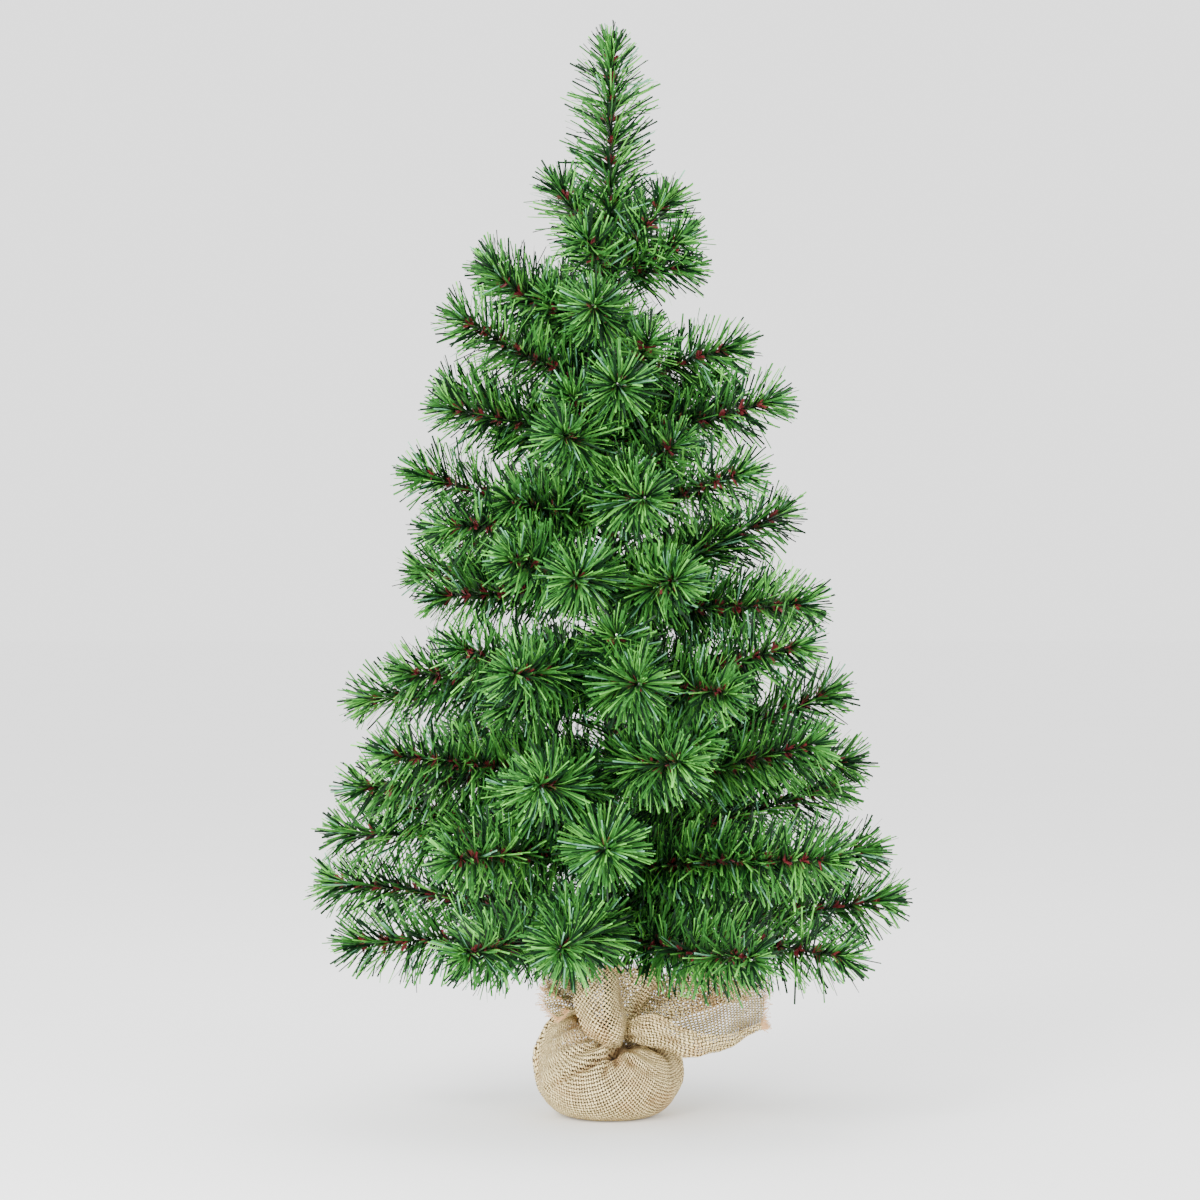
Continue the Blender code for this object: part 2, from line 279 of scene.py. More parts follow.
def burlap():
    """Plain weave of uneven jute yarns with open holes between them, laid out on the cloth's own UV in metres."""
    s = settings()
    cloth = Nodes("burlap weave", roughness=0.88)
    cloth.shader.inputs["Specular IOR Level"].default_value = 0.12
    place = cloth.add("ShaderNodeUVMap", uv_map="cloth").outputs["UV"]
    wander = cloth.add("ShaderNodeTexNoise", {"Vector": place, "Scale": 55.0, "Detail": 2.0}).outputs["Color"]
    shift = cloth.add(
        "ShaderNodeVectorMath",
        {0: wander, 1: (0.5, 0.5, 0.5)},
        operation="SUBTRACT",
    ).outputs[0]
    wandering = cloth.add(
        "ShaderNodeVectorMath",
        {0: shift, 1: (0.0016, 0.0016, 0.0), 2: place},
        operation="MULTIPLY_ADD",
    ).outputs[0]
    split = cloth.add("ShaderNodeSeparateXYZ", {0: wandering})
    steps = [cloth.math("DIVIDE", split.outputs[axis], s.yarn_pitch) for axis in (0, 1)]
    counts = [cloth.math("FLOOR", step) for step in steps]
    offsets = [cloth.math("ABSOLUTE", cloth.math("SUBTRACT", cloth.math("FRACT", step), 0.5)) for step in steps]

    def yarn_noise(axis):
        # one number for each yarn, changing slowly along it
        other = cloth.math("MULTIPLY", steps[1 - axis], 0.10)
        place_on_yarn = cloth.add("ShaderNodeCombineXYZ", {0: counts[axis], 1: other, 2: 7.0 * axis}).outputs[0]
        return cloth.add("ShaderNodeTexNoise", {"Vector": place_on_yarn, "Scale": 1.7, "Detail": 1.0}).outputs[0]

    tones = [yarn_noise(axis) for axis in (0, 1)]
    widths = [cloth.math("MULTIPLY_ADD", tone, 0.30, 0.100) for tone in tones]
    inside = [
        cloth.math("SUBTRACT", 1.0, cloth.between(offset, cloth.math("SUBTRACT", width, 0.05), width))
        for offset, width in zip(offsets, widths)
    ]
    domes = []
    for offset in offsets:
        squared = cloth.math("POWER", cloth.math("DIVIDE", offset, 0.40), 2.0)
        domes.append(cloth.math("SQRT", cloth.math("MAXIMUM", cloth.math("SUBTRACT", 1.0, squared), 0.0)))
    parity = cloth.math("FLOORED_MODULO", cloth.math("ADD", counts[0], counts[1]), 2.0)
    over = [parity, cloth.math("SUBTRACT", 1.0, parity)]
    heights = [
        cloth.math("MULTIPLY", cloth.math("MULTIPLY", dome, within), cloth.math("MULTIPLY_ADD", up, 0.5, 0.5))
        for dome, within, up in zip(domes, inside, over)
    ]
    first_on_top = cloth.math("GREATER_THAN", heights[0], heights[1])
    tone = cloth.add("ShaderNodeMix", {0: first_on_top, 2: tones[1], 3: tones[0]}).outputs[0]
    fibres = cloth.add("ShaderNodeTexNoise", {"Vector": place, "Scale": 2600.0, "Detail": 2.0}).outputs[0]
    shade = cloth.mix(cloth.between(tone, 0.30, 0.70), tuple(s.jute_dark), tuple(s.jute_light))
    shade = cloth.mix(cloth.between(fibres, 0.20, 0.70), shade, scaled(s.jute_light, 1.25))
    height = cloth.math("MAXIMUM", heights[0], heights[1])
    # painted shade: the colour darkens where a yarn dips under the other one and towards its edges, where shade falls
    # between the yarns
    shade = cloth.mix(cloth.between(height, 0.34, 0.86), scaled(s.jute_dark, 0.16), shade)
    # painted shade in the creases, gathers and pleats: the colour darkens with the attribute each cloth piece stores
    # for them
    crease_shade_share = cloth.add("ShaderNodeAttribute", attribute_name="crease_shade").outputs["Fac"]
    shade = cloth.mix(cloth.math("MULTIPLY", crease_shade_share, 0.72), shade, scaled(s.jute_dark, 0.40))
    stain = cloth.noise(26.0, 3.0)
    shade = cloth.mix(cloth.math("MULTIPLY", cloth.between(stain, 0.50, 0.72), 0.35), shade, tuple(s.jute_dark))
    cloth.colour(shade)
    cloth.bump(height, 0.0012)
    yarn_there = cloth.math("MAXIMUM", inside[0], inside[1])
    cloth.tree.links.new(yarn_there, cloth.shader.inputs["Alpha"])
    return cloth.material


_made = {}


def finish_of(name):
    """Each material is made once."""
    s = settings()
    makers = {
        "light": lambda: needle_film("light needles", tuple(s.light_green)),
        "mid": lambda: needle_film("mid needles", tuple(s.mid_green)),
        "dark": lambda: needle_film("dark needles", tuple(s.dark_green)),
        "pale": lambda: needle_film("bluish needles", tuple(s.pale_green)),
        "bark": lambda: bark_film(tuple(s.bark_brown)),
        "bright_wire": cut_wire,
        "wire": lacquered_wire,
        "cement": cast_cement_in_painted_shade,
        "jute": jute_yarn,
        "burlap": burlap,
    }
    if name not in _made:
        _made[name] = makers[name]()
    return _made[name]


BRUSH_FINISHES = ("light", "mid", "dark", "pale", "bark", "wire", "bright_wire")


# Mesh helpers


def to_piece(name, shape, finishes, body, replaced=(), smooth_angle=None):
    """The bmesh as a finished piece that rides on a body."""
    mesh = bpy.data.meshes.new(name)
    shape.to_mesh(mesh)
    shape.free()
    for finish in finishes:
        mesh.materials.append(finish_of(finish))
    if smooth_angle is None:
        mesh.shade_flat()
    else:
        mesh.shade_smooth()
        mesh.set_sharp_from_angle(angle=smooth_angle)
    piece = bpy.data.objects.new(name, mesh)
    bpy.context.scene.collection.objects.link(piece)
    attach(piece, body)
    if replaced:
        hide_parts(*replaced)
    return piece


def stamp(shape, pattern, matrix):
    """Adds a copy of the pattern mesh to the bmesh."""
    copy = pattern.copy()
    copy.transform(matrix)
    shape.from_mesh(copy)
    bpy.data.meshes.remove(copy)


def strip_pattern(name, length, width, thickness, bend, twist, finish_index, cuts=3):
    """A flat strip standing on the origin along +Z, bent and twisted, with its share of the length as "along"."""
    shape = bmesh.new()
    bmesh.ops.create_cube(shape, size=1.0)
    bmesh.ops.scale(shape, vec=(width, thickness, length), verts=shape.verts)
    bmesh.ops.translate(shape, vec=(0.0, 0.0, length / 2), verts=shape.verts)
    for cut in range(1, cuts):
        everything = shape.verts[:] + shape.edges[:] + shape.faces[:]
        bmesh.ops.bisect_plane(shape, geom=everything, plane_co=(0, 0, length * cut / cuts), plane_no=(0, 0, 1))
    along = shape.verts.layers.float.new("along")
    for corner in shape.verts:
        share = corner.co.z / length
        corner[along] = share
        corner.co = Matrix.Rotation(twist * share, 3, "Z") @ corner.co
        corner.co.y += bend * length * share * share
    for face in shape.faces:
        face.material_index = finish_index
    mesh = bpy.data.meshes.new(name)
    shape.to_mesh(mesh)
    shape.free()
    return mesh


def twisted_wires(shape, start, end, wire_radius, lay_radius, pitch, wires, finish_index, sides=6):
    """Round wires laid round each other along +Z, each spun from one circle, in a shape that holds only wires."""
    turns = (end - start) / pitch
    steps = max(6, round(turns * 6))
    for number in range(wires):
        made = bmesh.ops.create_circle(shape, cap_ends=True, segments=sides, radius=wire_radius)["verts"]
        bmesh.ops.rotate(shape, cent=(0, 0, 0), matrix=Matrix.Rotation(math.pi / 2, 3, "X"), verts=made)
        bmesh.ops.translate(shape, vec=(lay_radius, 0.0, start), verts=made)
        bmesh.ops.rotate(
            shape, cent=(0, 0, 0), matrix=Matrix.Rotation(2 * math.pi * number / wires, 3, "Z"), verts=made
        )
        # the circle faces along its own lay
        faces = list({face for corner in made for face in corner.link_faces})
        edges = list({edge for corner in made for edge in corner.link_edges})
        centre = sum((corner.co for corner in made), Vector()) / len(made)
        tangent = Vector((0, 0, 1)).cross(centre).normalized() * (2 * math.pi * lay_radius / pitch)
        tangent.z = 1.0
        faces[0].normal_update()
        facing = faces[0].normal.rotation_difference(tangent.normalized()).to_matrix()
        bmesh.ops.rotate(shape, cent=centre, matrix=facing, verts=made)
        bmesh.ops.spin(
            shape,
            geom=made + edges + faces,
            cent=(0, 0, 0),
            axis=(0, 0, 1),
            dvec=(0, 0, (end - start) / steps),
            angle=2 * math.pi * turns,
            steps=steps,
            use_merge=False,
        )
    for face in shape.faces:
        if face.material_index == 0:
            face.material_index = finish_index
    bmesh.ops.recalc_face_normals(shape, faces=shape.faces)


def frame_along(root, tip):
    """The matrix that puts +Z from root towards tip."""
    towards = (tip - root).normalized()
    return Matrix.Translation(root) @ towards.to_track_quat("Z", "Y").to_matrix().to_4x4()


# Brushes


def turns_about(axis, angles):
    """One 3 x 3 rotation for each angle."""
    cosines, sines = np.cos(angles), np.sin(angles)
    turned = np.zeros((len(angles), 3, 3))
    first, second = [(1, 2), (2, 0), (0, 1)]["XYZ".index(axis)]
    turned[:, "XYZ".index(axis), "XYZ".index(axis)] = 1.0
    turned[:, first, first] = turned[:, second, second] = cosines
    turned[:, first, second] = -sines
    turned[:, second, first] = sines
    return turned


def repeated(pattern, strips, count):
    """A bmesh with count strips: the pattern, which holds a set of them, again and again."""
    shape = bmesh.new()
    for _ in range(max(1, round(count / strips))):
        shape.from_mesh(pattern)
    return shape, strips * max(1, round(count / strips))


def place_strips(shape, turns, places, stretches):
    """Moves each strip of a repeated pattern, all of them at the origin, to its own place on the wire."""
    mesh = bpy.data.meshes.new("strips")
    shape.to_mesh(mesh)
    shape.free()
    flat = np.empty(len(mesh.vertices) * 3, np.float32)
    mesh.vertices.foreach_get("co", flat)
    strips = flat.reshape(len(turns), -1, 3) * np.stack(
        [np.ones_like(stretches), np.ones_like(stretches), stretches], axis=1
    )[:, None, :]
    strips = np.einsum("nij,nvj->nvi", turns, strips)
    strips[:, :, 2] += places[:, None]
    mesh.vertices.foreach_set("co", strips.astype(np.float32).ravel())
    return mesh


class StripPatterns:
    """The cut strips that every brush is filled with: one hank of needles in their mix of greens, one of bark."""

    def __init__(self):
        s = settings()
        hank = bmesh.new()
        for number, kind in enumerate(NEEDLE_MIX):
            width = s.needle_width * NEEDLE_WIDTHS[number * 7 % len(NEEDLE_WIDTHS)]
            self._add(hank, width, NEEDLE_TEMPLATE_LENGTH, NEEDLE_THICKNESS, number, kind)
        self.needles = bpy.data.meshes.new("needle hank")
        hank.to_mesh(self.needles)
        hank.free()
        curl = bmesh.new()
        for number in range(BARK_STRIPS):
            self._add(curl, BARK_WIDTH, BARK_LENGTH, BARK_THICKNESS, number, BRUSH_FINISHES.index("bark"), cuts=1)
        self.bark = bpy.data.meshes.new("bark hank")
        curl.to_mesh(self.bark)
        curl.free()

    @staticmethod
    def _add(hank, width, length, thickness, number, finish_index, cuts=2):
        bend = NEEDLE_BENDS[number % len(NEEDLE_BENDS)]
        twist = NEEDLE_TWISTS[number * 5 % len(NEEDLE_TWISTS)]
        strip = strip_pattern("strip", length, width, thickness, bend, twist, finish_index, cuts)
        hank.from_mesh(strip)
        bpy.data.meshes.remove(strip)


def fill_brush(shape, patterns, rng, start, end, length_at, lean_at, density):
    """Needles in twos and threes all round the wire between start and end."""
    hank, count = repeated(patterns.needles, len(NEEDLE_MIX), (end - start) * density)
    bunch = np.arange(count) * 5 // 12
    bunches = bunch[-1] + 1
    bunch = rng.permutation(bunch)
    bunch_turn = np.arange(bunches) * GOLDEN_ANGLE + rng.normal(0.0, 0.25, bunches)
    bunch_place = start + (end - start) * (np.arange(bunches) + rng.random(bunches)) / bunches
    bunch_lean = np.array([lean_at(place) for place in bunch_place]) + rng.normal(0.0, 0.13, bunches)
    lengths = np.array([length_at(place) for place in bunch_place])[bunch] * rng.uniform(0.70, 1.06, count)
    turns = (
        turns_about("Z", bunch_turn[bunch] + rng.normal(0.0, 0.17, count))
        @ turns_about("Y", bunch_lean[bunch] + rng.normal(0.0, 0.11, count))
        @ turns_about("Z", rng.uniform(0.0, math.tau, count))
    )
    mesh = place_strips(hank, turns, bunch_place[bunch], lengths / NEEDLE_TEMPLATE_LENGTH)
    shape.from_mesh(mesh)
    bpy.data.meshes.remove(mesh)


def add_bark(shape, patterns, rng, start, end):
    """Tufts of short bark strips, one every bark_spacing along the wire."""
    s = settings()
    tufts = max(1, round((end - start) / s.bark_spacing))
    curls, count = repeated(patterns.bark, BARK_STRIPS, tufts * BARK_STRIPS)
    places = start + (end - start) * (np.arange(count) // BARK_STRIPS + 0.5) / tufts
    places += rng.normal(0.0, 0.0009, count)
    turns = (
        turns_about("Z", rng.uniform(0.0, math.tau, count))
        @ turns_about("Y", rng.uniform(0.45, 1.35, count))
        @ turns_about("Z", rng.uniform(0.0, math.tau, count))
    )
    mesh = place_strips(curls, turns, places, rng.uniform(0.7, 1.2, count))
    shape.from_mesh(mesh)
    bpy.data.meshes.remove(mesh)


def sway(mesh, length, rng, amount):
    """Bends the whole brush softly sideways, with its root and its tip held."""
    direction = rng.uniform(0.0, math.tau)
    size = amount * rng.uniform(0.3, 1.0)
    second = rng.uniform(-0.4, 0.4)
    flat = np.empty(len(mesh.vertices) * 3, np.float32)
    mesh.vertices.foreach_get("co", flat)
    points = flat.reshape(-1, 3)
    share = np.clip(points[:, 2] / length, 0.0, 1.0)
    offset = size * (np.sin(np.pi * share) ** 2 + second * np.sin(2 * np.pi * share))
    points[:, 0] += offset * math.cos(direction)
    points[:, 1] += offset * math.sin(direction)
    mesh.vertices.foreach_set("co", points.ravel())


def brush(patterns, rng, length, density_share=1.0):
    """One branch along +Z from its root: wires, bark tufts and needles, shorter and steeper at the tip."""
    s = settings()
    shape = bmesh.new()
    wire_end = length - TIP_TUFT
    twisted_wires(shape, 0.0, wire_end, 0.00055, 0.0005, 0.0085, 2, 5, sides=4)
    twisted_wires(shape, wire_end, wire_end + BRIGHT_END, 0.0009, 0.0007, 0.0085, 2, 6, sides=4)

    def length_at(place):
        near_tip = min(1.0, max(0.0, (wire_end - place) / 0.032))
        near_root = min(1.0, 0.66 + 0.34 * place / 0.05)
        return s.needle_length * near_root * (0.74 + 0.26 * near_tip)

    def lean_at(place):
        near_tip = min(1.0, max(0.0, (wire_end - place) / 0.030))
        return s.needle_lean * (0.60 + 0.40 * near_tip)

    density = s.needle_density * density_share
    fill_brush(shape, patterns, rng, BARE_ROOT, wire_end - NEEDLE_MARGIN, length_at, lean_at, density)
    fill_brush(
        shape, patterns, rng, wire_end - END_STRETCH, wire_end,
        lambda place: s.needle_length * 0.66, lambda place: rng.uniform(0.15, 0.95), density * 1.7,
    )
    add_bark(shape, patterns, rng, BARE_ROOT, wire_end)
    return shape


def laid_along(name, shape, root, tip, rng, body, replaced=(), amount=0.006):
    """Turns a finished brush into its piece, from root to tip."""
    piece = to_piece(name, shape, BRUSH_FINISHES, body, replaced)
    sway(piece.data, (tip - root).length, rng, amount)
    piece.data.transform(frame_along(root, tip))
    return piece


def branch_ends(joint):
    """A branch's root, on its bending axis, and its tip, read from its CAD solid."""
    root = Vector(joint["pos_m"])
    node = frame["nodes"][frame["record"]["behaviour"]["bodies"][joint["child"]][0]]
    tip = max((corner.co for corner in node.data.vertices), key=lambda place: (place - root).length)
    return root, tip.copy()


class TREE_OT_branches(bpy.types.Operator):
    """Fill every branch with needles and ride it on its own body"""

    bl_idname = "tabletop_tree.branches"
    bl_label = "Branches"

    def execute(self, context):
        patterns = StripPatterns()
        for number, joint in enumerate(BRANCH_JOINTS):
            root, tip = branch_ends(joint)
            rng = np.random.default_rng(100 + number)
            shape = brush(patterns, rng, (tip - root).length)
            name = joint["child"]
            laid_along(f"{name}_brush", shape, root, tip, rng, name, (name,))
        return {"FINISHED"}


def lowest_root():
    return min(joint["pos_m"][2] for joint in BRANCH_JOINTS)


def nearest_branch(bearing, height):
    """The branch whose root is nearest to a place on the trunk: 25 degrees count as much as 30 mm."""

    def distance(joint):
        x, y, z = joint["pos_m"]
        turn = (bearing - math.degrees(math.atan2(x, -y)) + 180.0) % 360.0 - 180.0
        return (turn / 25.0) ** 2 + ((height - z) / 0.030) ** 2

    return min(BRANCH_JOINTS, key=distance)


# The sprigs that fill the outline: bearing in degrees, height on the trunk, reach in metres and rise in degrees
OUTLINE_SPRIGS = (
    (-92, 0.330, 0.216, 4), (-97, 0.212, 0.238, 5), (84, 0.195, 0.225, 7), (60, 0.152, 0.228, -2),
    (-60, 0.470, 0.165, 6), (75, 0.560, 0.148, 14), (-78, 0.560, 0.148, 12), (66, 0.400, 0.185, 8),
    (-66, 0.660, 0.112, 22), (-75, 0.428, 0.158, 1), (-48, 0.385, 0.175, 3), (-72, 0.268, 0.226, 2),
    (98, 0.262, 0.214, 8), (-108, 0.470, 0.168, 8),
    (-78, 0.700, 0.046, 62), (58, 0.700, 0.060, 50), (150, 0.705, 0.045, 58), (-150, 0.700, 0.050, 55),
)


class TREE_OT_sprigs(bpy.types.Operator):
    """Fill in the second shoots: each one less steep than STEEPEST_SHOOT is twisted into the root of its nearest
    branch and bends with it, and the steeper ones stand on the trunk and stay put
    """

    bl_idname = "tabletop_tree.sprigs"
    bl_label = "Second shoots"

    def execute(self, context):
        patterns = StripPatterns()
        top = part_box("trunk")[1][2]
        count = settings().sprigs
        rows = list(OUTLINE_SPRIGS)
        rng = np.random.default_rng(499)
        for number in range(count):
            share = (number + 0.5) / count
            bearing = number * math.degrees(GOLDEN_ANGLE) + rng.normal(0.0, 12.0)
            back = max(0.0, -math.cos(math.radians(bearing)))
            height = lowest_root() + 0.012 + share * (top - lowest_root() - 0.03)
            reach = (0.200 * (1.0 - share) + 0.082 * share) * (0.80 + 0.10 * back + rng.uniform(-0.06, 0.06))
            rows.append((bearing, height, reach, rng.uniform(-2.0, 12.0) + 20.0 * share))
        for number, (bearing, height, reach, rise) in enumerate(rows, start=1):
            angle = math.radians(bearing)
            outward = Vector((math.sin(angle), -math.cos(angle), 0.0))
            root = Vector((0.0, 0.0, height)) + outward * 0.006
            tip = root + outward * reach + Vector((0.0, 0.0, reach * math.tan(math.radians(rise))))
            body = BASE
            if rise < STEEPEST_SHOOT:
                joint = nearest_branch(bearing, height)
                root, body = Vector(joint["pos_m"]), joint["child"]
            rng = np.random.default_rng(500 + number)
            shape = brush(patterns, rng, (tip - root).length, density_share=0.85)
            laid_along(f"sprig_{number:02d}", shape, root, tip, rng, body)
        return {"FINISHED"}


class TREE_OT_leader(bpy.types.Operator):
    """Build the leader, the full brush on the trunk's own top"""

    bl_idname = "tabletop_tree.leader"
    bl_label = "Leader"

    def execute(self, context):
        patterns = StripPatterns()
        rng = np.random.default_rng(7)
        low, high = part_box("leader_top")
        foot = Vector((0.0, 0.0, low[2]))
        length = high[2] - low[2]
        s = settings()
        shape = bmesh.new()
        wire_end = length - LEADER_TUFT
        twisted_wires(shape, 0.0, wire_end, 0.0011, 0.0010, 0.012, 2, 5)
        twisted_wires(shape, wire_end, wire_end + LEADER_BRIGHT_END, 0.0009, 0.0008, 0.012, 2, 6)

        def length_at(place):
            return s.needle_length * min(1.04, 0.66 + 0.38 * (wire_end - place) / 0.050)

        def lean_at(place):
            return s.needle_lean * min(1.0, 0.62 + 0.38 * (wire_end - place) / 0.045)

        density = s.needle_density * 1.15
        fill_brush(shape, patterns, rng, 0.0, wire_end - NEEDLE_MARGIN, length_at, lean_at, density)
        fill_brush(
            shape, patterns, rng, wire_end - END_STRETCH, wire_end,
            lambda place: s.needle_length * 0.60, lambda place: rng.uniform(0.2, 0.85), density * 1.5,
        )
        add_bark(shape, patterns, rng, 0.0, wire_end)
        shape.transform(Matrix.Translation(foot))
        to_piece("leader_brush", shape, BRUSH_FINISHES, BASE, ("leader_top",))
        return {"FINISHED"}


class TREE_OT_trunk(bpy.types.Operator):
    """Lay up the trunk from twisted wires and fill its short needles"""

    bl_idname = "tabletop_tree.trunk"
    bl_label = "Trunk"

    def execute(self, context):
        low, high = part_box("trunk")
        radius = high[0]
        shape = bmesh.new()
        twisted_wires(shape, low[2], high[2], 0.42 * radius, 0.55 * radius, 0.030, 5, 0, sides=8)
        for corner in shape.verts:
            share = (corner.co.z - low[2]) / (high[2] - low[2])
            corner.co.x *= 1.0 - (1.0 - TRUNK_TAPER) * share
            corner.co.y *= 1.0 - (1.0 - TRUNK_TAPER) * share
        to_piece("trunk_wires", shape, ("wire",), BASE, ("trunk",), smooth_angle=math.radians(40))

        patterns = StripPatterns()
        rng = np.random.default_rng(11)
        s = settings()
        garland = bmesh.new()
        lowest = lowest_root() - 0.006
        fill_brush(
            garland, patterns, rng, lowest, high[2],
            lambda place: s.needle_length * 0.92, lambda place: s.needle_lean, s.needle_density * 0.85,
        )
        add_bark(garland, patterns, rng, lowest, high[2])
        to_piece("trunk_needles", garland, BRUSH_FINISHES, BASE)
        return {"FINISHED"}


# Base


def smooth_path(points, share):
    """Points at each share, 0 to 1, of a smooth curve through the points."""
    points = np.asarray(points, float)
    place = np.asarray(share, float) * (len(points) - 1)
    index = np.minimum(place.astype(int), len(points) - 2)
    local = (place - index)[..., None]
    before = points[np.maximum(index - 1, 0)]
    first, second = points[index], points[index + 1]
    after = points[np.minimum(index + 2, len(points) - 1)]
    return 0.5 * (
        2 * first
        + (second - before) * local
        + (2 * before - 5 * first + 4 * second - after) * local**2
        + (3 * first - before - 3 * second + after) * local**3
    )


def cloth_noise(points, scale, size):
    """A soft random height for each point."""
    flat = points.reshape(-1, 3)
    heights = np.array([noise.noise(Vector(point) * scale) for point in flat])
    return heights.reshape(points.shape[:-1]) * size


def flat_places(grid):
    """Where each point of a gathered sheet lay when the cloth was flat, in metres from the middle of its foot."""
    middle = grid.shape[1] // 2
    step_across = np.linalg.norm(np.diff(grid, axis=1), axis=2)
    run_across = np.concatenate([np.zeros((grid.shape[0], 1)), np.cumsum(step_across, axis=1)], axis=1)
    run_across -= run_across[:, middle : middle + 1]
    step_along = np.linalg.norm(np.diff(grid[:, middle], axis=0), axis=1)
    run_along = np.concatenate([[0.0], np.cumsum(step_along)])
    return np.stack([run_across, np.broadcast_to(run_along[:, None], run_across.shape)], axis=2)


def cloth_piece(name, grid, places, crease_shades, turn=0.0, replaced=(), closed=False):
    """A sheet of burlap over a grid of points, with its weave laid by where each point lay in the flat cloth.
    """
    along, across = grid.shape[0] - 1, grid.shape[1] - 1
    rotation = np.array([[math.cos(turn), -math.sin(turn)], [math.sin(turn), math.cos(turn)]])
    places = places @ rotation.T
    shape = bmesh.new()
    bmesh.ops.create_grid(shape, x_segments=across, y_segments=along, size=0.5)
    uv = shape.loops.layers.uv.new("cloth")
    # painted shade for the creases and pleats, kept on each point for the burlap material to darken its colour by
    crease_shade = shape.verts.layers.float.new("crease_shade")
    cells = {}
    for corner in shape.verts:
        cells[corner] = (round((corner.co.y + 0.5) * along), round((corner.co.x + 0.5) * across))
    for face in shape.faces:
        for loop in face.loops:
            loop[uv].uv = places[cells[loop.vert]]
    for corner, cell in cells.items():
        corner.co = grid[cell]
        corner[crease_shade] = crease_shades[cell]
    if closed:
        bmesh.ops.remove_doubles(shape, verts=shape.verts, dist=0.00005)
        bmesh.ops.recalc_face_normals(shape, faces=shape.faces)
    piece = to_piece(name, shape, ("burlap",), BASE, replaced, smooth_angle=math.radians(180))
    thick = piece.modifiers.new("Cloth thickness", "SOLIDIFY")
    thick.thickness = CLOTH_THICKNESS
    thick.offset = 0.0
    return piece


def fringe(name, edges, seed):
    """Loose yarn ends along a raw edge: each (place, outward direction)."""
    yarn = strip_pattern("yarn end", 0.0075, 0.00040, 0.00036, 0.25, 1.0, 0)
    rng = random.Random(seed)
    shape = bmesh.new()
    for place, outward in edges:
        towards = (outward + Vector([rng.gauss(0.0, 0.34) for _ in range(3)])).normalized()
        matrix = (
            Matrix.Translation(place)
            @ towards.to_track_quat("Z", "Y").to_matrix().to_4x4()
            @ Matrix.Rotation(rng.uniform(0.0, math.tau), 4, "Z")
            @ Matrix.Diagonal((1.0, 1.0, rng.uniform(0.3, 1.15), 1.0))
        )
        stamp(shape, yarn, matrix)
    to_piece(name, shape, ("jute",), BASE)


# The wrapped ball's outline from the middle of its underside to the neck: radius and height
BALL_PROFILE = (
    (0.0, 0.0006), (0.020, 0.0005), (0.0345, 0.0008), (0.0465, 0.0062), (0.0550, 0.0170), (0.0590, 0.0310),
    (0.0572, 0.0450), (0.0500, 0.0575), (0.0375, 0.0650), (0.0240, 0.0665), (NECK_RADIUS, NECK_HEIGHT),
)

# Gathers that run down from the neck: bearing, half width in degrees, depth, and the share of the outline
# where each one fades out
GATHERS = (
    (-62, 7, 0.0030, 0.62), (-45, 5, 0.0025, 0.66), (42, 6, 0.0045, 0.60), (64, 8, 0.0050, 0.52),
    (84, 5, 0.0035, 0.60), (100, 7, 0.0055, 0.47), (121, 6, 0.0050, 0.55), (143, 8, 0.0055, 0.46),
    (163, 5, 0.0045, 0.58), (178, 6, 0.0060, 0.50), (-164, 7, 0.0050, 0.56), (-146, 6, 0.0055, 0.48),
    (-127, 7, 0.0050, 0.58), (-109, 6, 0.0055, 0.50), (-90, 7, 0.0045, 0.60), (-76, 4, 0.0030, 0.66),
)

# The many small gathers at the sides and behind, which take up the cloth between the ball and the neck: how
# many go round, how far each stands out, and the share of the outline where they start
SMALL_GATHERS = 36
SMALL_GATHER_RISE = 0.0080
SMALL_GATHER_START = 0.30

# Creases in front, seen from the front: the points (x, z) that each follows from the knot, its depth and half width
KNOT = (0.006, 0.0625)
CREASES = (
    ((KNOT, (-0.013, 0.0515), (-0.030, 0.0425), (-0.051, 0.0290)), 0.0078, 0.0022),
    (((0.005, 0.0600), (0.004, 0.0520), (0.003, 0.0470)), 0.0109, 0.0034),
    (((0.001, 0.0590), (-0.004, 0.0480), (-0.0075, 0.0405)), 0.0071, 0.0024),
    (((0.008, 0.0600), (0.016, 0.0520), (0.025, 0.0460)), 0.0053, 0.0024),
    (((0.009, 0.0620), (0.022, 0.0580), (0.036, 0.0500)), 0.0056, 0.0022),
    (((0.011, 0.0640), (0.028, 0.0640), (0.050, 0.0550)), 0.0081, 0.0030),
    (((-0.016, 0.0700), (-0.034, 0.0660), (-0.053, 0.0560)), 0.0034, 0.0026),
    (((-0.010, 0.0650), (-0.030, 0.0570), (-0.054, 0.0440)), 0.0031, 0.0024),
    (((-0.030, 0.0790), (-0.042, 0.0740), (-0.054, 0.0640)), 0.0028, 0.0026),
    (((-0.004, 0.0420), (-0.001, 0.0360), (0.004, 0.0320)), 0.0025, 0.0040),
    (((0.028, 0.0440), (0.038, 0.0400), (0.050, 0.0380)), 0.0023, 0.0030),
)


def near_line(x, z, points):
    """How far each (x, z) is from the line through the points, and the share of the line where it is nearest."""
    best = np.full(x.shape, 1.0)
    where = np.zeros(x.shape)
    for number, ((ax, az), (bx, bz)) in enumerate(zip(points, points[1:])):
        length_squared = (bx - ax) ** 2 + (bz - az) ** 2
        share = np.clip(((x - ax) * (bx - ax) + (z - az) * (bz - az)) / length_squared, 0.0, 1.0)
        gap = np.hypot(x - ax - share * (bx - ax), z - az - share * (bz - az))
        nearer = gap < best
        best = np.where(nearer, gap, best)
        where = np.where(nearer, (number + share) / (len(points) - 1), where)
    return best, where


